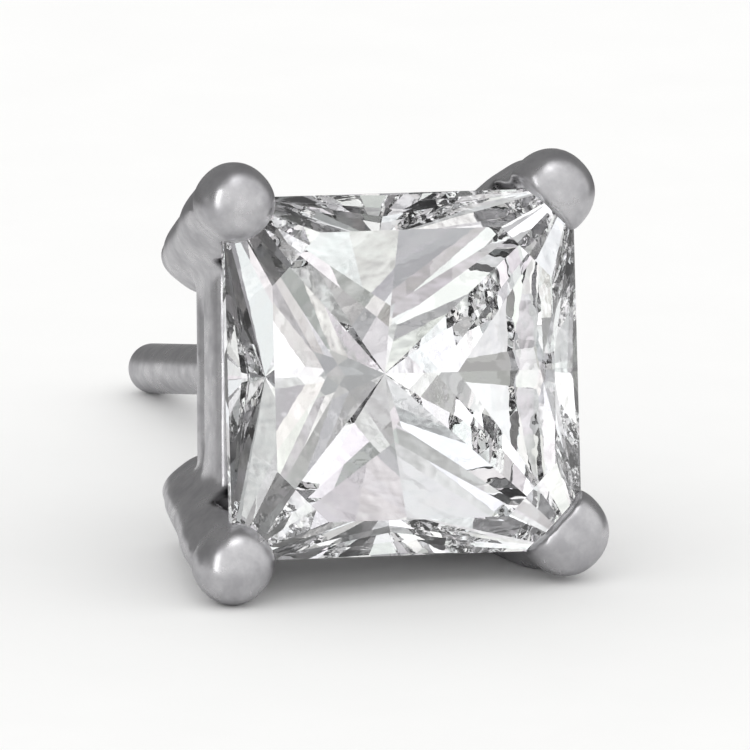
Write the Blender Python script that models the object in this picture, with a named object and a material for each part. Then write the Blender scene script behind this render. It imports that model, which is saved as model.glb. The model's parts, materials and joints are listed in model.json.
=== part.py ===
# A stud earring lying on a table: a square princess-cut diamond held by four
# corner claws in an open, tapering basket, with a plain straight post behind it.
# Units are metres. The stud is modelled facing +Z (X to its right, Y to its top,
# girdle plane at Z = 0), and one empty then lays it on the ground plane.

import math

import bmesh
import bpy
import numpy as np
from mathutils import Matrix, Vector

# Stone
STONE_WIDTH = 0.00560
STONE_HEIGHT = 0.00550
GIRDLE_THICKNESS = 0.00014
CROWN_HEIGHT = 0.00056
PAVILION_DEPTH = 0.00290
TABLE_CORNER_CUT = 0.00080

# Middle line of one side of the stone, from the girdle inwards.
# Columns: share of the half width, share of the crown height or pavilion depth.
CROWN_LINE = ((0.0, 0.0), (0.09, 0.46), (0.25, 1.0))
PAVILION_LINE = ((0.0, 0.0), (0.21, 0.35), (0.43, 0.59), (0.68, 0.80), (1.0, 1.0))

# Claws
BEAD_DIAMETER = 0.00118
BEAD_HEIGHT = 0.00052
BEAD_LIFT = 0.00015
CLAW_WIDTH = 0.00116
NECK_DROP = 0.00065
FOOT_DIAMETER = 0.00108
FOOT_SPREAD_X = 0.00430
FOOT_SPREAD_Y = 0.00368
SEAT_CLEARANCE = 0.00003

# How square a claw is across, from a circle at 2 upwards, at three depths between
# the bead's neck and the foot. Columns: share of the depth, squareness.
CLAW_BODY = ((0.0, 2.4), (0.35, 3.4), (0.7, 3.4))
FOOT_SQUARENESS = 3.2

# The claws were bent over the corners and filed by hand, each a little differently.
# Columns: side in X, side in Y, how far the tip's centre lies inside the stone's
# corner in X and in Y, and how far the filed inner face lies from that centre, the
# last three as shares of the bead's radius.
CLAWS = (
    (-1, 1, 0.29, 0.05, 0.95),
    (1, 1, 0.37, 0.02, 0.51),
    (-1, -1, -0.05, -0.13, 0.95),
    (1, -1, 0.15, 0.20, 0.64),
)

# Gallery rail between the claws, two bands with a groove between them
RAIL_FRONT = 0.00095
RAIL_HEIGHT = 0.00140
RAIL_SPREAD_FRONT = 0.00524
RAIL_SPREAD_BACK = 0.00496
RAIL_THICKNESS_FRONT = 0.00026
RAIL_THICKNESS_BACK = 0.00048
GROOVE_WIDTH = 0.00014
GROOVE_DEPTH = 0.00010
RAIL_EDGE_RADIUS = 0.00006

# Crossed base behind the culet
CULET_CLEARANCE = 0.00010
BASE_THICKNESS = 0.00075
ARM_WIDTH = 0.00090
ARM_EDGE_RADIUS = 0.00022
ARM_SINK = 0.00037

# Post
POST_DIAMETER = 0.00078
POST_LENGTH = 0.00860
HUB_DIAMETER = 0.00150
HUB_FRONT_SINK = 0.00015
HUB_BACK_STEP = 0.00004
SOLDER_FILLET = 0.00030
POST_END_FLAT = 0.00024

# Sides of the round shapes
CLAW_SIDES = 24
POST_SIDES = 24

# Corners of the stone that lie closer than this are one corner
SAME_POINT = 0.00000001

HALF_WIDTH = STONE_WIDTH / 2
HALF_HEIGHT = STONE_HEIGHT / 2
HALF_GIRDLE = GIRDLE_THICKNESS / 2
BEAD_RADIUS = BEAD_DIAMETER / 2
FOOT_RADIUS = FOOT_DIAMETER / 2
POST_RADIUS = POST_DIAMETER / 2
POST_END_RADIUS = POST_RADIUS - POST_END_FLAT / 2
BASE_FRONT = -(HALF_GIRDLE + PAVILION_DEPTH + CULET_CLEARANCE)
BASE_BACK = BASE_FRONT - BASE_THICKNESS
POST_TIP = BASE_BACK - POST_LENGTH


def clear_scene():
    for item in list(bpy.data.objects):
        bpy.data.objects.remove(item, do_unlink=True)


def make_material(name, colour, metallic, roughness):
    material = bpy.data.materials.new(name)
    material.use_nodes = True
    shader = material.node_tree.nodes["Principled BSDF"]
    shader.inputs["Base Color"].default_value = (*colour, 1.0)
    shader.inputs["Metallic"].default_value = metallic
    shader.inputs["Roughness"].default_value = roughness
    return material


def white_gold():
    return make_material("white_gold", (0.62, 0.61, 0.60), 1.0, 0.28)


def diamond():
    material = make_material("diamond", (1.0, 1.0, 1.0), 0.0, 0.0)
    shader = material.node_tree.nodes["Principled BSDF"]
    shader.inputs["IOR"].default_value = 2.417
    shader.inputs["Transmission Weight"].default_value = 1.0
    return material


def add_object(name, mesh_data, material, parent):
    bmesh.ops.recalc_face_normals(mesh_data, faces=mesh_data.faces)
    mesh = bpy.data.meshes.new(name)
    mesh_data.to_mesh(mesh)
    mesh_data.free()
    mesh.materials.append(material)
    item = bpy.data.objects.new(name, mesh)
    item.parent = parent
    bpy.context.scene.collection.objects.link(item)
    return item


def shade_round(item, angle):
    item.data.shade_smooth()
    item.data.set_sharp_from_angle(angle=math.radians(angle))


# Stone

def point_at(x, y, z):
    return np.array((x, y, z), dtype=float)


def plane_through(corner, first, second):
    # A point of the plane and its normal, which points away from the stone's middle.
    normal = np.cross(first - corner, second - corner)
    normal /= np.linalg.norm(normal)
    return corner, normal if corner @ normal > 0 else -normal


def side_planes(line, height, corner):
    # Each facet passes through the girdle's corner and through two neighbouring
    # points of the middle line, so the facets fan out from the corner.
    half_width, half_height, start = corner
    planes = []
    for steps in zip(line, line[1:]):
        x_points = [point_at(half_width * (1 - share), 0, start + height * rise)
                    for share, rise in steps]
        y_points = [point_at(0, half_height * (1 - share), start + height * rise)
                    for share, rise in steps]
        planes.append(plane_through(corner, *x_points))
        planes.append(plane_through(corner, *y_points))
    return planes


def corner_plane(corner):
    # The facet that runs from the girdle's corner up to the table's cut corner.
    table = corner[2] + CROWN_HEIGHT
    across, along = corner[:2] * (1 - CROWN_LINE[-1][0])
    return plane_through(corner,
                         point_at(across, along - TABLE_CORNER_CUT, table),
                         point_at(across - TABLE_CORNER_CUT, along, table))


def stone_planes(clearance):
    # One quarter's planes are mirrored into the other three. A plane that is its
    # own mirror image counts once.
    corner = point_at(HALF_WIDTH, HALF_HEIGHT, HALF_GIRDLE) + clearance
    quarter = side_planes(CROWN_LINE, CROWN_HEIGHT, corner)
    quarter += side_planes(PAVILION_LINE, -PAVILION_DEPTH, corner * point_at(1, 1, -1))
    quarter.append(corner_plane(corner))
    quarter.append((corner, point_at(1, 0, 0)))
    quarter.append((corner, point_at(0, 1, 0)))
    planes = [(corner + point_at(0, 0, CROWN_HEIGHT), point_at(0, 0, 1))]
    for side_x in (1, -1):
        for side_y in (1, -1):
            mirror = point_at(side_x, side_y, 1)
            for point, normal in quarter:
                turned = normal * mirror
                if not any(np.allclose(turned, other) for _, other in planes):
                    planes.append((point * mirror, turned))
    return planes


def facet_on(plane, planes):
    # A large square on the plane is trimmed by every other plane.
    point, normal = plane
    across = np.cross(normal, point_at(0.31, 0.52, 0.79))
    across *= 2 * STONE_WIDTH / np.linalg.norm(across)
    along = np.cross(normal, across)
    facet = [point + across + along, point - across + along,
             point - across - along, point + across - along]
    for other_point, other_normal in planes:
        if other_normal is normal:
            continue
        heights = [(corner - other_point) @ other_normal for corner in facet]
        trimmed = []
        for index, corner in enumerate(facet):
            last, height, last_height = facet[index - 1], heights[index], heights[index - 1]
            if min(height, last_height) < -SAME_POINT and max(height, last_height) > SAME_POINT:
                share = last_height / (last_height - height)
                trimmed.append(last + (corner - last) * share)
            if height <= SAME_POINT:
                trimmed.append(corner)
        facet = trimmed
    return facet


def cut_stone(clearance):
    # The girdle's corners move outwards by the clearance and every facet goes with
    # them, which gives the stone itself at zero and its seat above that.
    planes = stone_planes(clearance)
    corners, facets = [], []
    for plane in planes:
        facet = []
        for corner in facet_on(plane, planes):
            near = [index for index, known in enumerate(corners)
                    if np.linalg.norm(known - corner) < 10 * SAME_POINT]
            if not near:
                corners.append(corner)
                near = [len(corners) - 1]
            if near[0] not in facet:
                facet.append(near[0])
        if len(facet) > 2:
            facets.append(facet)
    stone = bmesh.new()
    points = [stone.verts.new(corner) for corner in corners]
    for facet in facets:
        stone.faces.new([points[index] for index in facet])
    return stone


# Setting

def ring_of_points(mesh_data, centre, half_size, squareness, sides):
    # A superellipse: a circle at squareness 2, squarer above that.
    points = []
    for index in range(sides):
        angle = 2 * math.pi * index / sides
        c, s = math.cos(angle), math.sin(angle)
        x = math.copysign(abs(c) ** (2 / squareness), c) * half_size
        y = math.copysign(abs(s) ** (2 / squareness), s) * half_size
        points.append(mesh_data.verts.new(centre + Vector((x, y, 0))))
    return points


def close_tube(mesh_data, rings, first, last):
    for ring_a, ring_b in zip(rings, rings[1:]):
        for index in range(len(ring_a)):
            after = (index + 1) % len(ring_a)
            mesh_data.faces.new((ring_a[index], ring_a[after], ring_b[after], ring_b[index]))
    for ring, pole in ((rings[0], first), (rings[-1], last)):
        for index in range(len(ring)):
            mesh_data.faces.new((ring[index], ring[(index + 1) % len(ring)], pole))


def claw_sections():
    # Depth, half size and squareness of the sections, from the bead to the foot.
    sections = []
    for angle in (18, 36, 54, 72, 90, 112):
        turn = math.radians(angle)
        height = BEAD_HEIGHT if angle < 90 else BEAD_RADIUS
        sections.append((BEAD_LIFT + height * math.cos(turn),
                         BEAD_RADIUS * math.sin(turn), 2.0))
    foot_start = BASE_BACK + FOOT_RADIUS
    neck = BEAD_LIFT - NECK_DROP
    for share, squareness in CLAW_BODY:
        depth = neck + (foot_start - neck) * share
        sections.append((depth, CLAW_WIDTH / 2, squareness))
    for angle in (90, 68, 46, 24):
        turn = math.radians(angle)
        sections.append((foot_start - FOOT_RADIUS * math.cos(turn),
                         FOOT_RADIUS * math.sin(turn) ** 0.8, FOOT_SQUARENESS))
    return sections


def file_flat(ring, centre, inward, reach):
    # Points that stand further inwards than the filed face are brought back to it.
    for vertex in ring:
        excess = (vertex.co - centre).dot(inward) - reach
        if excess > 0:
            vertex.co -= inward * excess


def claw_tip(side_x, side_y, inset_x, inset_y):
    return Vector((side_x * (HALF_WIDTH - inset_x * BEAD_RADIUS),
                   side_y * (HALF_HEIGHT - inset_y * BEAD_RADIUS), BEAD_LIFT))


def claw_mesh(side_x, side_y, inset_x, inset_y, filed):
    tip = claw_tip(side_x, side_y, inset_x, inset_y)
    foot = Vector((side_x * FOOT_SPREAD_X / 2, side_y * FOOT_SPREAD_Y / 2, 0))
    foot_start = BASE_BACK + FOOT_RADIUS

    def centre(depth):
        share = (BEAD_LIFT - depth) / (BEAD_LIFT - foot_start)
        share = min(1.0, max(0.0, share))
        point = tip.lerp(foot, share)
        point.z = depth
        return point

    claw = bmesh.new()
    inward = Vector((-side_x, -side_y, 0)).normalized()
    rings = []
    for depth, half, squareness in claw_sections():
        ring = ring_of_points(claw, centre(depth), half, squareness, CLAW_SIDES)
        if depth > -RAIL_FRONT:
            file_flat(ring, centre(depth), inward, filed * BEAD_RADIUS)
        rings.append(ring)
    close_tube(claw, rings,
               claw.verts.new(centre(BEAD_LIFT + BEAD_HEIGHT)),
               claw.verts.new(centre(BASE_BACK)))
    return claw


def rounded_outline(corners, radius, steps):
    # Each corner of a flat outline becomes an arc of the given radius.
    outline = []
    count = len(corners)
    for index in range(count):
        corner = Vector(corners[index])
        to_last = (Vector(corners[index - 1]) - corner)
        to_next = (Vector(corners[(index + 1) % count]) - corner)
        reach = min(radius, 0.45 * to_last.length, 0.45 * to_next.length)
        start = corner + to_last.normalized() * reach
        end = corner + to_next.normalized() * reach
        for step in range(steps + 1):
            share = step / steps
            outline.append(start.lerp(corner, share).lerp(corner.lerp(end, share), share))
    return outline


def rail_mesh():
    # The profile is in half spread and depth. Its groove parts the two bands.
    front, back = -RAIL_FRONT, -RAIL_FRONT - RAIL_HEIGHT
    outer_front, outer_back = RAIL_SPREAD_FRONT / 2, RAIL_SPREAD_BACK / 2
    middle = (front + back) / 2
    outer_middle = (outer_front + outer_back) / 2
    half_groove = GROOVE_WIDTH / 2
    profile = rounded_outline((
        (outer_front - RAIL_THICKNESS_FRONT, front),
        (outer_front, front),
        (outer_middle, middle + half_groove),
        (outer_middle - GROOVE_DEPTH, middle),
        (outer_middle, middle - half_groove),
        (outer_back, back),
        (outer_back - RAIL_THICKNESS_BACK, back),
    ), RAIL_EDGE_RADIUS, 2)
    narrower = HALF_WIDTH - HALF_HEIGHT
    rail = bmesh.new()
    rings = []
    for spread, depth in profile:
        rings.append([rail.verts.new((x * spread, y * (spread - narrower), depth))
                      for x, y in ((1, 1), (-1, 1), (-1, -1), (1, -1))])
    for index in range(len(rings)):
        ring_a, ring_b = rings[index - 1], rings[index]
        for side in range(4):
            after = (side + 1) % 4
            rail.faces.new((ring_a[side], ring_a[after], ring_b[after], ring_b[side]))
    return rail


def arm_mesh(side):
    # One diagonal of the crossed base, from inside one foot to the opposite foot.
    foot = Vector((FOOT_SPREAD_X / 2, side * FOOT_SPREAD_Y / 2, 0))
    along = foot.normalized() * (foot.length - FOOT_RADIUS + ARM_SINK)
    across = Vector((-along.y, along.x, 0)).normalized()
    half = ARM_WIDTH / 2
    outline = rounded_outline((
        (-half, BASE_FRONT), (half, BASE_FRONT), (half, BASE_BACK), (-half, BASE_BACK),
    ), ARM_EDGE_RADIUS, 4)
    arm = bmesh.new()
    rings = []
    for end in (-1, 1):
        rings.append([arm.verts.new(along * end + across * offset + Vector((0, 0, depth)))
                      for offset, depth in outline])
    for index in range(len(outline)):
        after = (index + 1) % len(outline)
        arm.faces.new((rings[0][index], rings[0][after], rings[1][after], rings[1][index]))
    arm.faces.new(rings[0])
    arm.faces.new(rings[1])
    return arm


def post_mesh():
    # A turned profile: hub inside the base, solder fillet, shank, rounded end.
    hub_radius = max(HUB_DIAMETER / 2, POST_RADIUS + SOLDER_FILLET)
    hub_front = BASE_FRONT - HUB_FRONT_SINK
    hub_back = BASE_BACK - HUB_BACK_STEP
    profile = [(hub_radius, hub_front), (hub_radius, hub_back)]
    for step in range(4):
        turn = math.radians(30 * step)
        profile.append((POST_RADIUS + SOLDER_FILLET * (1 - math.sin(turn)),
                        hub_back - SOLDER_FILLET * (1 - math.cos(turn))))
    for step in range(5):
        turn = math.radians(22.5 * step)
        profile.append((POST_RADIUS - POST_END_RADIUS * (1 - math.cos(turn)),
                        POST_TIP + POST_END_RADIUS * (1 - math.sin(turn))))
    post = bmesh.new()
    rings = [ring_of_points(post, Vector((0, 0, depth)), radius, 2.0, POST_SIDES)
             for radius, depth in profile]
    for ring_a, ring_b in zip(rings, rings[1:]):
        for index in range(POST_SIDES):
            after = (index + 1) % POST_SIDES
            post.faces.new((ring_a[index], ring_a[after], ring_b[after], ring_b[index]))
    post.faces.new(rings[0])
    post.faces.new(rings[-1])
    return post


def hide_tool(item):
    item.hide_render = True
    item.display_type = 'WIRE'


def combine(item, tool, operation):
    hide_tool(tool)
    boolean = item.modifiers.new(tool.name, 'BOOLEAN')
    boolean.operation = operation
    boolean.solver = 'EXACT'
    boolean.object = tool


def make_setting(parent):
    metal = white_gold()
    setting = add_object("claw_setting", post_mesh(), metal, parent)
    pieces = [("base_arm_rising", arm_mesh(1)), ("base_arm_falling", arm_mesh(-1))]
    for index, claw in enumerate(CLAWS):
        pieces.append((f"claw_{index + 1}", claw_mesh(*claw)))
    pieces.append(("gallery_rail", rail_mesh()))
    for name, mesh_data in pieces:
        combine(setting, add_object(name, mesh_data, metal, parent), 'UNION')
    seat = add_object("stone_seat", cut_stone(SEAT_CLEARANCE), metal, parent)
    combine(setting, seat, 'DIFFERENCE')
    shade_round(setting, 35)
    return setting


def make_stone(parent):
    return add_object("princess_stone", cut_stone(0.0), diamond(), parent)


# Rest on the ground: two lower beads and the end of the post touch it

def resting_turn():
    beads = [claw_tip(*claw[:4]) for claw in sorted(CLAWS) if claw[1] < 0]
    post_end = Vector((0, POST_END_RADIUS - POST_RADIUS, POST_TIP + POST_END_RADIUS))
    along_beads = (beads[1] - beads[0]).normalized()
    to_post = post_end - beads[0]
    to_post -= along_beads * to_post.dot(along_beads)
    towards_post = to_post.normalized()
    upright = towards_post.cross(along_beads).normalized()
    if upright.y < 0:
        upright = -upright
    dip = math.asin((POST_END_RADIUS - BEAD_RADIUS) / to_post.length)
    up = upright * math.cos(dip) + towards_post * math.sin(dip)
    forward = Vector((0, 0, 1)) - up * up.z
    forward.normalize()
    right = up.cross(forward)
    # Rows send the stud's up to +Z and its face towards -Y.
    return Matrix((right, -forward, up)).to_4x4()


def lay_down(frame, pieces):
    frame.matrix_world = resting_turn()
    bpy.context.view_layer.update()
    graph = bpy.context.evaluated_depsgraph_get()
    points = []
    for item in pieces:
        evaluated = item.evaluated_get(graph)
        mesh = evaluated.to_mesh()
        points += [evaluated.matrix_world @ vertex.co for vertex in mesh.vertices]
        evaluated.to_mesh_clear()
    low = Vector([min(point[axis] for point in points) for axis in range(3)])
    high = Vector([max(point[axis] for point in points) for axis in range(3)])
    middle = (low + high) / 2
    frame.location = (-middle.x, -middle.y, -low.z)


def main():
    clear_scene()
    frame = bpy.data.objects.new("stud_frame", None)
    frame.empty_display_size = STONE_WIDTH
    bpy.context.scene.collection.objects.link(frame)
    setting = make_setting(frame)
    stone = make_stone(frame)
    lay_down(frame, (setting, stone))


main()
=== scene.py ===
# A stud earring with a square princess-cut diamond in a four-claw basket, lying on a pale table.
# The basket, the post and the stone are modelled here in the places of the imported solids.

import json
import math

import bpy
import numpy as np
from mathutils import Matrix


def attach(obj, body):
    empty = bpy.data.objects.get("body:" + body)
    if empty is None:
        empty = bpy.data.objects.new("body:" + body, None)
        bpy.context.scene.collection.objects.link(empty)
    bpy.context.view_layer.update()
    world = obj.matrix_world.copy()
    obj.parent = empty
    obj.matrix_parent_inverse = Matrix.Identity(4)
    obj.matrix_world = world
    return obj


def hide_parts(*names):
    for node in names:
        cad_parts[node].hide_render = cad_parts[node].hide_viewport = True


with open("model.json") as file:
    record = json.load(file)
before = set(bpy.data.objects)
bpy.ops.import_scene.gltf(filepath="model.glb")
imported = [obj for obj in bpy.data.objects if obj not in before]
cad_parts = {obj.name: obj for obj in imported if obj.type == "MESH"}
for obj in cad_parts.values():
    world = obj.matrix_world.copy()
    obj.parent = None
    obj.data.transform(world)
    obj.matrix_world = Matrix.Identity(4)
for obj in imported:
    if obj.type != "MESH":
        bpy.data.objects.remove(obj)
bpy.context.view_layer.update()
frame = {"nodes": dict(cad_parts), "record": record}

mm = 0.001
stoneNode = frame["nodes"]["princess_stone"]

# The stud's own axes: x to its right, y to its top, z out of the stone's face,
# origin in the middle of the girdle. All new shapes are worked out in them, in mm.

stone = {
    "halfWidth": 2.80,
    "halfHeight": 2.75,
    "halfGirdle": 0.07,
    "tableHeight": 0.63,  # from the girdle's middle
    "culetDepth": 2.97,
    "tableCornerCut": 0.80,
    # Middle line of a side from the girdle inwards: share of the half width, share of the height
    "crownLine": ((0, 0), (0.09, 0.46), (0.20, 1)),
    "pavilionLine": ((0, 0), (0.09, 0.15), (0.21, 0.27), (0.47, 0.55), (0.74, 0.785), (1, 1)),
    "seatGap": 0.015,  # all round, to the metal
}


def meshPoints(mesh):
    points = np.empty(len(mesh.vertices) * 3)
    mesh.vertices.foreach_get("co", points)
    return points.reshape(-1, 3)


def studAxes():
    # z is the table's normal, x the normal of the girdle face that looks most to the right.
    table = next(m for m in frame["record"]["mounts"] if m["name"] == "stone_table")
    nose = np.array(table["axis"])
    nose /= np.linalg.norm(nose)
    normals = np.empty(len(stoneNode.data.polygons) * 3)
    stoneNode.data.polygons.foreach_get("normal", normals)
    normals = normals.reshape(-1, 3)
    level = normals[np.abs(normals @ nose) < 0.01]
    right = level[np.argmax(level[:, 0])]
    right = right - nose * (right @ nose)
    right /= np.linalg.norm(right)
    origin = np.array(table["pos_m"]) - nose * stone["tableHeight"] * mm
    return origin, np.array([right, np.cross(nose, right), nose])


studOrigin, studTurn = studAxes()


def toWorld(points):
    return studOrigin + (points * mm) @ studTurn


# Camera: a long lens, so there is hardly any perspective. The photo's frame puts the
# girdle's middle on one of its pixels at so many pixels per mm. The frame here comes
# closer and has the stud in its middle.

cameraView = {
    "azimuth": -19.06,  # degrees
    "elevation": 14.32,
    "roll": -0.89,
    "distance": 0.45,  # m
    "sensor": 36.0,
    "photoSize": 750,
    "photoPixel": (284.6, 385.6),
    "photoScale": 29.95,
    "closer": 2.2,  # times
    "middlePixel": (272.5, 386.0),  # the photo's pixel that comes to the middle
}


def makeCamera():
    turn, lift, roll = (math.radians(cameraView[k]) for k in ("azimuth", "elevation", "roll"))
    back = np.array((math.sin(turn) * math.cos(lift), -math.cos(turn) * math.cos(lift), math.sin(lift)))
    level = np.array((math.cos(turn), math.sin(turn), 0.0))
    upright = np.cross(back, level)
    right = level * math.cos(roll) - upright * math.sin(roll)
    up = np.cross(back, right)
    pixelX, pixelY = cameraView["photoPixel"]
    middleX, middleY = cameraView["middlePixel"]
    shift = right * (middleX - pixelX) + up * (pixelY - middleY)
    aim = studOrigin + shift * mm / cameraView["photoScale"]
    lens = bpy.data.cameras.new("studCamera")
    lens.sensor_width = cameraView["sensor"]
    width = cameraView["photoSize"] / cameraView["photoScale"] / cameraView["closer"] * mm
    lens.lens = cameraView["sensor"] * cameraView["distance"] / width
    lens.clip_start = 0.05
    lens.clip_end = 10.0
    camera = bpy.data.objects.new("studCamera", lens)
    bpy.context.scene.collection.objects.link(camera)
    place = np.eye(4)
    place[:3, 0], place[:3, 1], place[:3, 2] = right, up, back
    place[:3, 3] = aim + back * cameraView["distance"]
    camera.matrix_world = Matrix(place.tolist())
    bpy.context.scene.camera = camera


makeCamera()
print("camera set")


# Shapes: grids of points, closed at both ends, joined and melted into one skin

def powerCircle(power, count):
    # Unit section: (cos t, sin t), each raised to 2/power and keeping its sign.
    t = np.linspace(0, 2 * math.pi, count, endpoint=False)
    c, s = np.cos(t), np.sin(t)
    return (np.sign(c) * np.abs(c) ** (2 / power), np.sign(s) * np.abs(s) ** (2 / power))


def sweep(centres, aside, across, halfAside, halfAcross, power, count=64):
    # point(i, j) = centre(i) + aside(i) * halfAside(i) * c(j) + across(i) * halfAcross(i) * s(j)
    c, s = powerCircle(power, count)
    rows = len(centres)
    aside = np.broadcast_to(aside, (rows, 3))
    across = np.broadcast_to(across, (rows, 3))
    return (centres[:, None, :]
            + aside[:, None, :] * (halfAside[:, None] * c)[:, :, None]
            + across[:, None, :] * (halfAcross[:, None] * s)[:, :, None])


def gridShell(grid):
    # Rows of the grid are rings. Each is joined to the next, and the two end rings
    # are closed by a fan round their middle.
    rows, count = grid.shape[:2]
    points = np.concatenate([grid.reshape(-1, 3), grid[:1].mean(axis=1), grid[-1:].mean(axis=1)])
    index = np.arange(rows * count).reshape(rows, count)
    after = np.roll(index, -1, axis=1)
    quads = np.stack([index[:-1], after[:-1], after[1:], index[1:]], axis=-1).reshape(-1, 4)
    first, last = rows * count, rows * count + 1
    fanA = np.stack([after[0], index[0], np.full(count, first)], axis=-1)
    fanB = np.stack([index[-1], after[-1], np.full(count, last)], axis=-1)
    return points, quads.tolist() + fanA.tolist() + fanB.tolist()


def joinShells(shells):
    points, faces, start = [], [], 0
    for shellPoints, shellFaces in shells:
        points.append(shellPoints)
        faces += [[corner + start for corner in face] for face in shellFaces]
        start += len(shellPoints)
    return np.concatenate(points), faces


def meshObject(name, points, faces):
    mesh = bpy.data.meshes.new(name)
    mesh.from_pydata(points.tolist(), [], faces)
    mesh.update()
    item = bpy.data.objects.new(name, mesh)
    bpy.context.scene.collection.objects.link(item)
    return item


def applied(item):
    # The mesh as its modifiers leave it, put back on the object without them.
    graph = bpy.context.evaluated_depsgraph_get()
    mesh = bpy.data.meshes.new_from_object(item.evaluated_get(graph))
    item.modifiers.clear()
    item.data = mesh
    return item


def melt(item, voxel):
    # One skin round all shells, on a grid of voxels, in mm.
    remesh = item.modifiers.new("melt", "REMESH")
    remesh.mode = "VOXEL"
    remesh.voxel_size = voxel
    remesh.use_smooth_shade = True
    return applied(item)


def edgeEnds(mesh):
    ends = np.empty(len(mesh.edges) * 2, dtype=np.int64)
    mesh.edges.foreach_get("vertices", ends)
    return ends.reshape(-1, 2)


def vertexNormals(mesh):
    normals = np.empty(len(mesh.vertices) * 3)
    mesh.vertices.foreach_get("normal", normals)
    return normals.reshape(-1, 3)


def pull(points, ends, counts):
    # From each point to the mean of its neighbours.
    total = np.zeros_like(points)
    for axis in range(3):
        total[:, axis] = (np.bincount(ends[:, 0], points[ends[:, 1], axis], len(points))
                          + np.bincount(ends[:, 1], points[ends[:, 0], axis], len(points)))
    return total / counts[:, None] - points


skin = {
    "voxel": 0.046,
    "rounds": 9,
    "creaseRounds": 60,
    "lastRounds": 2,
    "step": 0.5,  # share of the way to the neighbours' mean
    "creaseStep": 0.9,
    "normalsEvery": 4,
}


def relax(item, creaseShare):
    # Every point moves half way to its neighbours' mean, again and again. Then only the
    # hollow creases fill up: a point moves along its normal where that mean lies outside.
    mesh = item.data
    points = meshPoints(mesh)
    ends = edgeEnds(mesh)
    counts = np.bincount(ends.ravel(), minlength=len(points)).astype(float)
    for _ in range(skin["rounds"]):
        points += skin["step"] * pull(points, ends, counts)
    mesh.vertices.foreach_set("co", points.ravel())
    mesh.update()
    share = creaseShare(points)
    for turn in range(skin["creaseRounds"]):
        if turn % skin["normalsEvery"] == 0:
            mesh.vertices.foreach_set("co", points.ravel())
            mesh.update()
            normals = vertexNormals(mesh)
        outward = np.einsum("ij,ij->i", pull(points, ends, counts), normals)
        points += normals * (skin["creaseStep"] * share * np.clip(outward, 0, None))[:, None]
    for _ in range(skin["lastRounds"]):
        points += skin["step"] * pull(points, ends, counts)
    mesh.vertices.foreach_set("co", points.ravel())
    mesh.update()


# The basket's four claws: a domed bead over the stone's corner, a strap-like body that
# runs back and inwards to a rounded foot, and the crossed base that joins the feet.

claws = {
    "beadFront": 0.46,
    "beadBack": 0.60,
    "beadPower": 2.5,
    "lift": 0.15,
    "corners": (  # side x, side y, bead's x, y, half across the corner, half outwards, filed face inwards
        (-1, 1, -2.64, 2.68, 0.60, 0.61, 0.58),
        (1, 1, 2.41, 2.67, 0.66, 0.69, 0.21),
        (-1, -1, -2.81, -2.79, 0.60, 0.62, 0.58),
        (1, -1, 2.48, -2.45, 0.67, 0.70, 0.24),
    ),
    "body": (  # share of the way to the foot, half across, half outwards
        (0, 0.57, 0.59), (0.2, 0.63, 0.63), (0.45, 0.62, 0.58), (0.62, 0.60, 0.60), (0.85, 0.61, 0.61),
        (1, 0.58, 0.56),
    ),
    "bodyPower": 3.0,
    "rightFuller": 0.16,  # how much the right claws' bodies swell half way
    "fullerPower": 0.7,
    "foot": (2.13, 1.84),
    "footDepth": -3.12,
    "footRound": 0.56,
    "baseFront": -3.07,
    "baseBack": -3.76,
    "baseTwist": -1.3,  # degrees, of the whole base under the stone
    "armHalfWidth": 0.43,
    "armPower": 3.2,
    "bodyStart": 0.10,  # share of the way from tip to foot
    "bodyFiled": 0.06,  # the body's filed face stands this much behind the bead's
    "filedDownTo": -0.9,
    "beadSectionPower": 2.2,
    "capPower": 0.9,
    "armPastFoot": 0.10,
}


def twisted(points):
    # The base sits a little turned under the stone, as it was set by hand.
    angle = math.radians(claws["baseTwist"])
    c, s = math.cos(angle), math.sin(angle)
    return points @ np.array(((c, s, 0), (-s, c, 0), (0, 0, 1)))


def dome(centre, halfAcross, halfOut, across, outward, rows=48, count=72):
    # Turned and stretched: half size * sin(a) and height * cos(a), both raised to 2/power,
    # with a running from 0 to 180 degrees.
    power = claws["beadPower"]
    a = np.linspace(0, math.pi, rows + 2)[1:-1]
    r = np.sin(a) ** (2 / power)
    height = np.where(a < math.pi / 2, claws["beadFront"], claws["beadBack"])
    z = np.sign(np.cos(a)) * np.abs(np.cos(a)) ** (2 / power) * height
    c, s = powerCircle(claws["beadSectionPower"], count)
    grid = (r[:, None, None] * (halfOut * c[:, None] * outward + halfAcross * s[:, None] * across)
            + z[:, None, None] * np.array((0, 0, 1.0)))
    return grid + centre


def fileInside(grid, centre, inward, reach):
    # Whatever stands further inwards than the filed face is brought back to it.
    excess = np.clip((grid - centre) @ inward - reach, 0, None)
    return grid - inward * excess[..., None]


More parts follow.
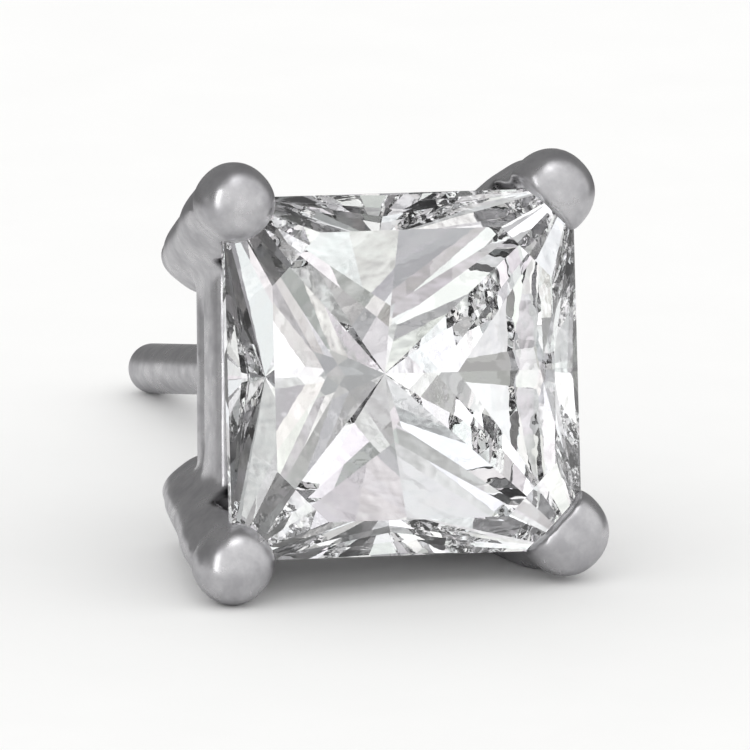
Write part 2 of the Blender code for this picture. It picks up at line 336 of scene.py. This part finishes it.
def clawShells(sideX, sideY, tipX, tipY, halfAcross, halfOut, filed):
    tip = np.array((tipX, tipY, claws["lift"]))
    foot = twisted(np.array((sideX * claws["foot"][0], sideY * claws["foot"][1], claws["footDepth"])))
    outward = np.array((sideX, sideY, 0)) / math.sqrt(2)
    across = np.array((-sideY, sideX, 0)) / math.sqrt(2)
    bead = dome(tip, halfAcross, halfOut, across, outward)
    bead = fileInside(bead, tip, -outward, filed)
    # The body's ring runs from behind the bead to the foot, along a straight line, with
    # its half sizes read from the table, and closes in a quarter of a superellipse.
    s = np.linspace(0, 1, 60)
    share, halfSide, halfDeep = np.array(claws["body"]).T
    if sideX > 0:
        swell = 1 + claws["rightFuller"] * np.sin(math.pi * share) ** claws["fullerPower"]
        halfSide, halfDeep = halfSide * swell, halfDeep * swell
    start = tip + (foot - tip) * claws["bodyStart"]
    centres = start + (foot - start) * s[:, None]
    level = foot * (1, 1, 0) / np.linalg.norm(foot[:2])
    aside = np.array((-level[1], level[0], 0))
    along = (foot - tip) / np.linalg.norm(foot - tip)
    deep = np.cross(aside, along)
    power = claws["bodyPower"]
    body = sweep(centres, aside, deep, np.interp(s, share, halfSide), np.interp(s, share, halfDeep), power)
    a = np.linspace(0, math.pi / 2, 14)[1:-1]
    capCentres = foot + np.array((0, 0, -1.0)) * (claws["footRound"] * np.sin(a))[:, None]
    narrowing = np.cos(a) ** claws["capPower"]
    cap = sweep(capCentres, aside, deep, halfSide[-1] * narrowing, halfDeep[-1] * narrowing, power)
    body = np.concatenate([body, cap])
    filedBody = fileInside(body, tip, -outward, filed + claws["bodyFiled"])
    body = np.where(body[..., 2:] > claws["filedDownTo"], filedBody, body)
    return [gridShell(bead), gridShell(body)]


def armShell(side):
    # A straight bar of one section from foot to opposite foot.
    foot = twisted(np.array((claws["foot"][0], side * claws["foot"][1], 0)))
    middle = (claws["baseFront"] + claws["baseBack"]) / 2
    along = foot / np.linalg.norm(foot)
    aside = np.array((-along[1], along[0], 0))
    reach = np.linalg.norm(foot) + claws["armPastFoot"]
    s = np.linspace(-1, 1, 40)
    centres = along * (reach * s)[:, None] + np.array((0, 0, middle))
    half = np.full(len(s), (claws["baseFront"] - claws["baseBack"]) / 2)
    width = np.full(len(s), claws["armHalfWidth"])
    return gridShell(sweep(centres, aside, np.array((0, 0, 1.0)), width, half, claws["armPower"]))


# The gallery rail: a bar on each side between two claws, with a rounded front, a
# plain band, a groove and a narrow back band.

rail = {
    "front": -1.06,
    "back": -2.38,
    "halfFront": 2.63,
    "halfBack": 2.52,
    "thickFront": 0.30,
    "thickBack": 0.50,
    "halfLength": 2.3,
    "outline": (  # share of the depth from front to back, how far in from the outer face
        (0.00, 0.16), (0.03, 0.07), (0.14, 0.02), (0.22, 0.0), (0.58, 0.0), (0.615, 0.01),
        (0.66, 0.09), (0.70, 0.115), (0.75, 0.09), (0.795, 0.01), (0.83, 0.0), (0.97, 0.0), (1.0, 0.04),
    ),
}


def railShell(turn):
    # The bar's section is carried in a straight line from claw to claw. Its outer face
    # leans in towards the back.
    depth, inset = np.array(rail["outline"]).T
    outerZ = rail["front"] + (rail["back"] - rail["front"]) * depth
    outer = rail["halfFront"] + (rail["halfBack"] - rail["halfFront"]) * depth - inset
    innerZ = np.linspace(rail["back"], rail["front"], 8)
    inner = np.linspace(rail["halfBack"] - rail["thickBack"], rail["halfFront"] - rail["thickFront"], 8)
    out = np.concatenate([outer, inner])
    z = np.concatenate([outerZ, innerZ])
    lengthways = np.linspace(-rail["halfLength"], rail["halfLength"], 60)
    narrower = (stone["halfWidth"] - stone["halfHeight"]) * (turn % 2)
    grid = np.stack(np.broadcast_arrays(out[None, :] - narrower, lengthways[:, None], z[None, :]), axis=-1)
    angle = turn * math.pi / 2
    c, s = math.cos(angle), math.sin(angle)
    return gridShell(twisted(grid @ np.array(((c, s, 0), (-s, c, 0), (0, 0, 1)))))


# The post: drawn wire with a rounded end, in a bead of solder on the base's middle

post = {
    "radius": 0.39,
    "end": -12.42,
    "endRadius": 0.27,
    "hubRadius": 0.75,
    "hubFront": -3.22,
    "hubBack": -3.86,
    "fillet": 0.30,
    "inHub": 0.10,  # how far the wire reaches into the hub
    "hubTail": 0.15,
    "tailRadius": 0.9,  # share of the wire's
    "sharpAngle": 50,
}


def turned(radii, depths, count=96):
    # point(i, j) = (r(i) cos t(j), r(i) sin t(j), z(i))
    t = np.linspace(0, 2 * math.pi, count, endpoint=False)
    return np.stack(np.broadcast_arrays(radii[:, None] * np.cos(t), radii[:, None] * np.sin(t),
                                        depths[:, None]), axis=-1)


def hubShell():
    # A short drum whose back runs down to the wire in a quarter round.
    a = np.linspace(0, math.pi / 2, 12)
    flare = post["radius"] + post["fillet"] * (1 - np.sin(a))
    radii = np.concatenate([[post["hubRadius"]] * 2, flare, [post["radius"] * post["tailRadius"]]])
    depths = np.concatenate([[post["hubFront"], post["hubBack"]],
                             post["hubBack"] - post["fillet"] * (1 - np.cos(a)),
                             [post["hubBack"] - post["fillet"] - post["hubTail"]]])
    return gridShell(turned(radii, depths))


def makePost():
    # A plain wire whose end is rounded in a quarter circle.
    a = np.linspace(0, math.pi / 2, 14)
    straight = np.linspace(post["hubBack"] + post["inHub"], post["end"] + post["endRadius"], 60)
    rounding = post["radius"] - post["endRadius"] * (1 - np.cos(a[1:]))
    radii = np.concatenate([np.full(60, post["radius"]), rounding])
    depths = np.concatenate([straight, post["end"] + post["endRadius"] * (1 - np.sin(a[1:]))])
    points, faces = gridShell(turned(radii, depths)[::-1])
    wire = meshObject("post_wire", toWorld(points), faces)
    wire.data.shade_smooth()
    wire.data.set_sharp_from_angle(angle=math.radians(post["sharpAngle"]))
    return wire


# The stone: a square princess cut. Every facet is a plane, and the solid is what
# lies inside all of them.

def facetPlane(a, b, c):
    # The plane through three points as its outward normal and its distance
    normal = np.cross(b - a, c - a)
    normal /= np.linalg.norm(normal)
    return np.append(normal, normal @ a) * np.sign(normal @ a)


def facetPlanes(grow=0.0):
    # Each side's chevrons fan out from the girdle's corner to pairs of points on the
    # side's middle line. One quarter is mirrored into the other three.
    corner = np.array((stone["halfWidth"], stone["halfHeight"], stone["halfGirdle"])) + grow
    tall = stone["tableHeight"] - stone["halfGirdle"]
    deep = stone["halfGirdle"] - stone["culetDepth"]
    quarter = [np.array((1, 0, 0, corner[0])), np.array((0, 1, 0, corner[1]))]
    for line, height, start in ((stone["crownLine"], tall, corner),
                                (stone["pavilionLine"], deep, corner * (1, 1, -1))):
        for axis in (np.array((1, 0, 0)), np.array((0, 1, 0))):
            points = [start * axis * (1 - share) + np.array((0, 0, start[2] + height * rise))
                      for share, rise in line]
            quarter += [facetPlane(start, a, b) for a, b in zip(points, points[1:])]
    tableShare = 1 - stone["crownLine"][-1][0]
    edge = corner * (tableShare, tableShare, 0)
    edge[2] = corner[2] + tall
    cut = stone["tableCornerCut"]
    quarter.append(facetPlane(corner, edge - np.array((0, cut, 0)), edge - np.array((cut, 0, 0))))
    planes = [np.array((0, 0, 1, corner[2] + tall))]
    sides = ((1, 1), (1, -1), (-1, 1), (-1, -1))
    planes += [plane * (sideX, sideY, 1, 1) for plane in quarter for sideX, sideY in sides]
    return np.unique(np.round(planes, 9), axis=0)


def cutStone(name, grow=0.0):
    # A corner is a point where three planes meet and that no plane leaves outside. Each
    # facet is the ring of the corners on its plane.
    planes = facetPlanes(grow)
    count = len(planes)
    trios = np.array(np.meshgrid(*[np.arange(count)] * 3, indexing="ij")).reshape(3, -1).T
    trios = trios[(trios[:, 0] < trios[:, 1]) & (trios[:, 1] < trios[:, 2])]
    trios = trios[np.abs(np.linalg.det(planes[trios, :3])) > 1e-5]
    points = np.linalg.solve(planes[trios, :3], planes[trios, 3:])[..., 0]
    points = points[(points @ planes[:, :3].T <= planes[:, 3] + 1e-6).all(axis=1)]
    corners = points[np.unique(np.round(points, 4), axis=0, return_index=True)[1]]
    faces = []
    for plane in planes:
        on = np.nonzero(np.abs(corners @ plane[:3] - plane[3]) < 2e-4)[0]
        if len(on) < 3:
            continue
        middle = corners[on].mean(axis=0)
        across = corners[on[0]] - middle
        up = np.cross(plane[:3], across)
        angle = np.arctan2((corners[on] - middle) @ up, (corners[on] - middle) @ across)
        faces.append(on[np.argsort(angle)].tolist())
    return meshObject(name, corners, faces)


zones = {
    "clawReach": 1.15,  # from a claw's axis
    "clawFade": 0.3,
    "fillBelow": -1.15,  # creases fill behind this depth only
    "baseBelow": -2.6,
    "fade": 0.2,
    # These six entries set where the basket's inside gets its painted shade.
    "recessBelow": -0.55,
    "recessFade": 0.4,
    "recessAbove": -3.6,
    "recessAboveFade": 0.3,
    "forwards": 0.35,  # how much facing the stone counts
    "facing": (0.15, 0.45),  # where the recess starts, and over how much it deepens
    "sharpAngle": 40,
}


def nearClaws(points):
    # 1 near the claws' axes behind the rails' fronts and all over the base, 0 along the
    # open rails, so that their grooves stay.
    share = np.zeros(len(points))
    for sideX, sideY, tipX, tipY, *_ in claws["corners"]:
        tip = np.array((tipX, tipY))
        foot = np.array((sideX, sideY)) * claws["foot"]
        down = np.clip((claws["lift"] - points[:, 2]) / (claws["lift"] - claws["footDepth"]), 0, 1)
        axis = tip + (foot - tip) * down[:, None]
        gap = np.linalg.norm(points[:, :2] - axis, axis=1)
        share = np.maximum(share, np.clip((zones["clawReach"] - gap) / zones["clawFade"], 0, 1))
    share *= np.clip((zones["fillBelow"] - points[:, 2]) / zones["fade"], 0, 1)
    return np.maximum(share, np.clip((zones["baseBelow"] - points[:, 2]) / zones["fade"], 0, 1))


def markPaintedShade(mesh, points):
    # How far a point lies in the basket's inside, which gets painted shade: it faces the stud's middle
    # line or the stone, and lies well behind the girdle.
    normals = vertexNormals(mesh)
    inwards = -points * (1, 1, 0) / np.linalg.norm(points[:, :2] + 1e-6, axis=1)[:, None]
    facing = np.einsum("ij,ij->i", normals, inwards + np.array((0, 0, zones["forwards"])))
    depth = np.clip((zones["recessBelow"] - points[:, 2]) / zones["recessFade"], 0, 1)
    depth *= np.clip((points[:, 2] - zones["recessAbove"]) / zones["recessAboveFade"], 0, 1)
    paintedShade = np.clip((facing - zones["facing"][0]) / zones["facing"][1], 0, 1) * depth
    mesh.attributes.new("paintedShade", "FLOAT", "POINT").data.foreach_set("value", paintedShade)


def makeBasket():
    # All shells melted into one skin, with the stone's seat cut out of it
    shells = []
    for corner in claws["corners"]:
        shells += clawShells(*corner)
    shells += [armShell(1), armShell(-1), hubShell()]
    shells += [railShell(turn) for turn in range(4)]
    basket = meshObject("claw_basket", *joinShells(shells))
    melt(basket, skin["voxel"])
    relax(basket, nearClaws)
    cutter = cutStone("seatCutter", stone["seatGap"])
    seat = basket.modifiers.new("seat", "BOOLEAN")
    seat.operation = "DIFFERENCE"
    seat.solver = "EXACT"
    seat.object = cutter
    applied(basket)
    bpy.data.objects.remove(cutter)
    points = meshPoints(basket.data)
    markPaintedShade(basket.data, points)
    points = toWorld(points)
    points[:, 2] = np.maximum(points[:, 2], 0)  # nothing reaches below the table
    basket.data.vertices.foreach_set("co", points.ravel())
    basket.data.shade_smooth()
    basket.data.set_sharp_from_angle(angle=math.radians(zones["sharpAngle"]))
    print("basket:", len(basket.data.polygons), "faces")
    return basket


def makeStone():
    # The stone itself, put in its place
    gem = cutStone("princess_cut_stone")
    gem.data.vertices.foreach_set("co", toWorld(meshPoints(gem.data)).ravel())
    print("stone:", len(gem.data.polygons), "facets")
    return gem


basket = makeBasket()
postWire = makePost()
gem = makeStone()
print("stud modelled")


# Materials

def linear(hexColour):
    # sRGB hex to linear values
    values = [int(hexColour[i:i + 2], 16) / 255 for i in (1, 3, 5)]
    return [v / 12.92 if v <= 0.04045 else ((v + 0.055) / 1.055) ** 2.4 for v in values] + [1.0]


def addNode(tree, kind, settings=None, links=None):
    # One node with its properties or socket values, and links from other nodes' sockets.
    # A link given as a plain number is set on the socket itself.
    node = tree.nodes.new(kind)
    for key, value in (settings or {}).items():
        if isinstance(key, str) and hasattr(node, key):
            setattr(node, key, value)
        else:
            node.inputs[key].default_value = value
    for key, source in (links or {}).items():
        if isinstance(source, float):
            node.inputs[key].default_value = source
        else:
            tree.links.new(source, node.inputs[key])
    return node


def newMaterial(name):
    material = bpy.data.materials.new(name)
    material.use_nodes = True
    tree = material.node_tree
    tree.nodes.clear()
    shader = addNode(tree, "ShaderNodeBsdfPrincipled")
    output = addNode(tree, "ShaderNodeOutputMaterial", links={"Surface": shader.outputs["BSDF"]})
    return material, tree, shader, output


metal = {
    "light": "#EAE9EB",
    "deep": "#CBCACD",
    "paintedShade": "#3A393B",  # painted shade on the basket's inside
    "roughness": (0.25, 0.36),
    "cloudSize": 0.45,  # mm
    "cloudSpan": (0.35, 0.65),  # noise that counts as deep and as light
    "grainSize": 0.05,
    "grainBump": (0.05, 0.010),  # strength and height
    "lineSize": (0.03, 0.50, 0.04),  # polishing lines, along x, y, z
    "lineBump": (0.10, 0.006),
}


def rhodiumWhiteGold(name):
    # White gold under rhodium, cast, tumbled and wheel polished by hand: a neutral grey
    # mirror softened by a fine skin grain and the wheel's faint lines, with duller clouds,
    # and painted shade darkening the basket's inside almost to black.
    material, tree, shader, _ = newMaterial(name)
    shader.inputs["Metallic"].default_value = 1.0
    place = addNode(tree, "ShaderNodeTexCoord").outputs["Object"]
    cloudScale, grainScale = (1 / (metal[size] * mm) for size in ("cloudSize", "grainSize"))
    clouds = addNode(tree, "ShaderNodeTexNoise", {"Scale": cloudScale, "Detail": 4.0, "Roughness": 0.6},
                     {"Vector": place})
    grain = addNode(tree, "ShaderNodeTexNoise", {"Scale": grainScale, "Detail": 4.0, "Roughness": 0.65},
                    {"Vector": place})
    low, high = metal["cloudSpan"]
    worn = addNode(tree, "ShaderNodeMapRange", {"From Min": low, "From Max": high},
                   {"Value": clouds.outputs["Fac"]}).outputs["Result"]
    colour = addNode(tree, "ShaderNodeMix", {"data_type": "RGBA", 6: linear(metal["deep"]),
                                             7: linear(metal["light"])}, {0: worn})
    # Painted shade: the colour goes to near black where the mask is high, standing in for the basket's
    # shadowed inside.
    paintedShade = addNode(tree, "ShaderNodeAttribute", {"attribute_name": "paintedShade"}).outputs["Fac"]
    colour = addNode(tree, "ShaderNodeMix", {"data_type": "RGBA", 7: linear(metal["paintedShade"])},
                     {0: paintedShade, 6: colour.outputs[2]})
    tree.links.new(colour.outputs[2], shader.inputs["Base Color"])
    rough = addNode(tree, "ShaderNodeMapRange", {"To Min": metal["roughness"][1],
                                                 "To Max": metal["roughness"][0]}, {"Value": worn})
    tree.links.new(rough.outputs["Result"], shader.inputs["Roughness"])
    lineScale = [1 / (size * mm) for size in metal["lineSize"]]
    drawn = addNode(tree, "ShaderNodeVectorMath", {"operation": "MULTIPLY", 1: lineScale}, {0: place})
    lines = addNode(tree, "ShaderNodeTexNoise", {"Scale": 1.0, "Detail": 3.0, "Distortion": 0.4},
                    {"Vector": drawn.outputs["Vector"]})
    strength, height = metal["grainBump"]
    bump = addNode(tree, "ShaderNodeBump", {"Strength": strength, "Distance": height * mm},
                   {"Height": grain.outputs["Fac"]})
    strength, height = metal["lineBump"]
    bump = addNode(tree, "ShaderNodeBump", {"Strength": strength, "Distance": height * mm},
                   {"Height": lines.outputs["Fac"], "Normal": bump.outputs["Normal"]})
    tree.links.new(bump.outputs["Normal"], shader.inputs["Normal"])
    return material


diamond = {
    "body": "#FCFCFD",
    "ior": 2.417,
    "polishSize": 0.45,  # mm, from swell to swell of a facet's polish
    "polishHeight": 0.0010,
}


def cutDiamond(name):
    # Near colourless diamond, cut and polished on a wheel: clear, with a hard bright face
    # to each facet, whose polish swells a little, so what it shows is never quite even.
    material, tree, shader, _ = newMaterial(name)
    shader.inputs["Base Color"].default_value = linear(diamond["body"])
    shader.inputs["Roughness"].default_value = 0.0
    shader.inputs["IOR"].default_value = diamond["ior"]
    shader.inputs["Transmission Weight"].default_value = 1.0
    place = addNode(tree, "ShaderNodeTexCoord").outputs["Object"]
    polishScale = 1 / (diamond["polishSize"] * mm)
    polish = addNode(tree, "ShaderNodeTexNoise", {"Scale": polishScale, "Detail": 2.0}, {"Vector": place})
    bump = addNode(tree, "ShaderNodeBump", {"Strength": 1.0, "Distance": diamond["polishHeight"] * mm},
                   {"Height": polish.outputs["Fac"]})
    tree.links.new(bump.outputs["Normal"], shader.inputs["Normal"])
    return material


goldMaterial = rhodiumWhiteGold("rhodiumWhiteGold")
diamondMaterial = cutDiamond("cutDiamond")


def dress(item, material):
    item.data.materials.clear()
    item.data.materials.append(material)


dress(basket, goldMaterial)
dress(postWire, goldMaterial)
dress(gem, diamondMaterial)

for piece in (basket, postWire):
    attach(piece, "root")
    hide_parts("claw_setting")
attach(gem, "root")
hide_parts("princess_stone")
print("materials made")


# Table and light

studio = {
    "floorSize": 4.0,
    "diffuse": 1.03,  # what lights the table
    "metalDark": 0.19,  # the room that the metal mirrors
    "metalLights": (  # azimuth, elevation, half angle, softness, strength
        (22, 2, 52, 16, 0.57),
        (12, 56, 7, 7, 1.6),
        (-80, -35, 30, 30, 0.30),
    ),
    "metalStrips": (  # azimuth, elevation, half length, half width, softness, strength
        (-37, 4, 34, 3.0, 4.0, 2.5),
    ),
    "pool": (70.0, 84.0, 60.0),  # mm: the table's light in the metal starts to fade, ends, stands in front
    "poolLevels": (0.62, 0.14),
    "stoneBase": 1.03,  # the room in which the stone's own light is gathered
    "stoneLights": (
        (-60, 10, 28, 20, 0.35),
        (70, 30, 15, 20, 0.30),
        (180, -12, 35, 25, -0.97),
        (-9, -61, 16, 12, -0.85),
        (-19, 14, 6, 4, -0.7),  # the camera's own shadow
    ),
    "sparkle": (7.0, 0.38, 0.60, 0.46, 1.20),  # scale, noise from and to, factor from and to
    "fire": 0.07,  # share of colour in the stone's light
    "stoneOutside": 0.14,  # what the stone's faces mirror
    "fireScale": 9.0,
    "fireGain": 2.0,  # brings the noise's mean back to white
}

paper = {
    "light": "#FDFDFC",
    "deep": "#F9F9F8",
    "fibreSize": 2.0,  # mm
    "roughness": 0.9,
    "shine": 0.1,
}


def direction(azimuth, elevation):
    a, e = math.radians(azimuth), math.radians(elevation)
    return (math.sin(a) * math.cos(e), -math.cos(a) * math.cos(e), math.sin(e))


def makeFloor():
    # A flat sheet of pale paper.
    half = studio["floorSize"] / 2
    points = np.array(((-half, -half, 0), (half, -half, 0), (half, half, 0), (-half, half, 0)), float)
    floor = meshObject("paleTable", points, [(0, 1, 2, 3)])
    material, tree, shader, output = newMaterial("palePaper")
    place = addNode(tree, "ShaderNodeTexCoord").outputs["Object"]
    fibreScale = 1 / (paper["fibreSize"] * mm)
    fibre = addNode(tree, "ShaderNodeTexNoise", {"Scale": fibreScale, "Detail": 6.0}, {"Vector": place})
    colour = addNode(tree, "ShaderNodeMix", {"data_type": "RGBA", 6: linear(paper["deep"]),
                                             7: linear(paper["light"])}, {"Factor": fibre.outputs["Fac"]})
    tree.links.new(colour.outputs[2], shader.inputs["Base Color"])
    shader.inputs["Roughness"].default_value = paper["roughness"]
    shader.inputs["Specular IOR Level"].default_value = paper["shine"]
    # Painted light: the metal mirrors a dimmer table than the eye sees, a painted pool of light that is
    # grey near the stud and fades to dark further off, as in a room with few lit surfaces.
    ray = addNode(tree, "ShaderNodeLightPath")
    fromPool = addNode(tree, "ShaderNodeVectorMath", {"operation": "ADD", 1: (0, studio["pool"][2] * mm, 0)},
                       {0: place})
    far = addNode(tree, "ShaderNodeVectorMath", {"operation": "LENGTH"}, {0: fromPool.outputs["Vector"]})
    near = addNode(tree, "ShaderNodeMapRange", {"interpolation_type": "SMOOTHSTEP",
                                                "From Min": studio["pool"][0] * mm,
                                                "From Max": studio["pool"][1] * mm,
                                                "To Min": studio["poolLevels"][0],
                                                "To Max": studio["poolLevels"][1]},
                   {"Value": far.outputs["Value"]})
    paintedPool = addNode(tree, "ShaderNodeBsdfDiffuse", {}, {"Color": near.outputs["Result"]})
    mirrored = addNode(tree, "ShaderNodeMath", {"operation": "SUBTRACT", "use_clamp": True},
                       {0: ray.outputs["Is Glossy Ray"], 1: ray.outputs["Is Transmission Ray"]})
    mix = addNode(tree, "ShaderNodeMixShader", {}, {0: mirrored.outputs[0], 1: shader.outputs["BSDF"],
                                                    2: paintedPool.outputs["BSDF"]})
    tree.links.new(mix.outputs["Shader"], output.inputs["Surface"])
    dress(floor, material)
    floor.visible_transmission = False  # the stone gathers its light from the room alone


def addLobe(tree, view, total, azimuth, elevation, half, softness, strength):
    # One soft light in a room seen along view: strength within half degrees of its
    # direction, fading to nothing over the next softness degrees.
    facing = addNode(tree, "ShaderNodeVectorMath", {"operation": "DOT_PRODUCT",
                                                    1: direction(azimuth, elevation)}, {0: view})
    lobe = addNode(tree, "ShaderNodeMapRange", {"interpolation_type": "SMOOTHSTEP",
                                                "From Min": math.cos(math.radians(half + softness)),
                                                "From Max": math.cos(math.radians(half)),
                                                "To Min": 0.0, "To Max": strength},
                   {"Value": facing.outputs["Value"]})
    return addNode(tree, "ShaderNodeMath", {"operation": "ADD"},
                   {0: total, 1: lobe.outputs["Result"]}).outputs[0]


def addStrip(tree, view, total, azimuth, elevation, halfLength, halfWidth, softness, strength):
    # An upright strip light: a lobe as wide as the strip is long, cut to the strip's
    # width by how far view stands off its upright plane.
    a = math.radians(azimuth)
    off = addNode(tree, "ShaderNodeVectorMath", {"operation": "DOT_PRODUCT",
                                                 1: (math.cos(a), math.sin(a), 0.0)}, {0: view})
    off = addNode(tree, "ShaderNodeMath", {"operation": "ABSOLUTE"}, {0: off.outputs["Value"]})
    slim = addNode(tree, "ShaderNodeMapRange", {"interpolation_type": "SMOOTHSTEP",
                                                "From Min": math.sin(math.radians(halfWidth)),
                                                "From Max": math.sin(math.radians(halfWidth + softness)),
                                                "To Min": 1.0, "To Max": 0.0},
                   {"Value": off.outputs[0]})
    lobe = addLobe(tree, view, 0.0, azimuth, elevation, halfLength, softness * 2, strength)
    strip = addNode(tree, "ShaderNodeMath", {"operation": "MULTIPLY"}, {0: slim.outputs["Result"], 1: lobe})
    return addNode(tree, "ShaderNodeMath", {"operation": "ADD"}, {0: total, 1: strip.outputs[0]}).outputs[0]


def makeWorld():
    # One level of light for each kind of ray: what the metal mirrors, what the stone's
    # faces mirror, what comes out of the stone, and what lights the table.
    world = bpy.data.worlds.new("studioRoom")
    bpy.context.scene.world = world
    world.use_nodes = True
    tree = world.node_tree
    tree.nodes.clear()
    view = addNode(tree, "ShaderNodeTexCoord").outputs["Generated"]
    ray = addNode(tree, "ShaderNodeLightPath")
    forMetal = studio["metalDark"]
    for lobe in studio["metalLights"]:
        forMetal = addLobe(tree, view, forMetal, *lobe)
    for strip in studio["metalStrips"]:
        forMetal = addStrip(tree, view, forMetal, *strip)
    forStone = studio["stoneBase"]
    for lobe in studio["stoneLights"]:
        forStone = addLobe(tree, view, forStone, *lobe)
    scale, low, high, dark, bright = studio["sparkle"]
    specks = addNode(tree, "ShaderNodeTexNoise", {"Scale": scale, "Detail": 1.0}, {"Vector": view})
    specks = addNode(tree, "ShaderNodeMapRange", {"From Min": low, "From Max": high, "To Min": dark,
                                                  "To Max": bright}, {"Value": specks.outputs["Fac"]})
    forStone = addNode(tree, "ShaderNodeMath", {"operation": "MULTIPLY"},
                       {0: specks.outputs["Result"], 1: forStone}).outputs[0]
    mirrored = addNode(tree, "ShaderNodeMath", {"operation": "SUBTRACT", "use_clamp": True},
                       {0: ray.outputs["Is Glossy Ray"], 1: ray.outputs["Is Transmission Ray"]})
    forMetal = addNode(tree, "ShaderNodeMix", {"data_type": "FLOAT", 3: studio["stoneOutside"]},
                       {0: ray.outputs["Is Singular Ray"], 2: forMetal}).outputs[0]
    level = addNode(tree, "ShaderNodeMix", {"data_type": "FLOAT", 2: studio["diffuse"]},
                    {0: mirrored.outputs[0], 3: forMetal})
    level = addNode(tree, "ShaderNodeMix", {"data_type": "FLOAT"},
                    {0: ray.outputs["Is Transmission Ray"], 2: level.outputs[0], 3: forStone})
    # Faint warm and cool patches stand for the colours that a diamond spreads light into.
    fire = addNode(tree, "ShaderNodeTexNoise", {"Scale": studio["fireScale"], "Detail": 0.0},
                   {"Vector": view})
    fire = addNode(tree, "ShaderNodeVectorMath", {"operation": "SCALE", "Scale": studio["fireGain"]},
                   {0: fire.outputs["Color"]})
    share = addNode(tree, "ShaderNodeMath", {"operation": "MULTIPLY", 1: studio["fire"]},
                    {0: ray.outputs["Is Transmission Ray"]})
    tint = addNode(tree, "ShaderNodeMix", {"data_type": "RGBA", 6: (1.0, 1.0, 1.0, 1.0)},
                   {0: share.outputs[0], 7: fire.outputs["Vector"]})
    back = addNode(tree, "ShaderNodeBackground", {},
                   {"Color": tint.outputs[2], "Strength": level.outputs[0]})
    addNode(tree, "ShaderNodeOutputWorld", links={"Surface": back.outputs["Background"]})


makeFloor()
makeWorld()
scene = bpy.context.scene
scene.view_settings.view_transform = "Standard"
scene.cycles.max_bounces = 32
scene.cycles.glossy_bounces = 24
scene.cycles.transmission_bounces = 24
print("studio made")
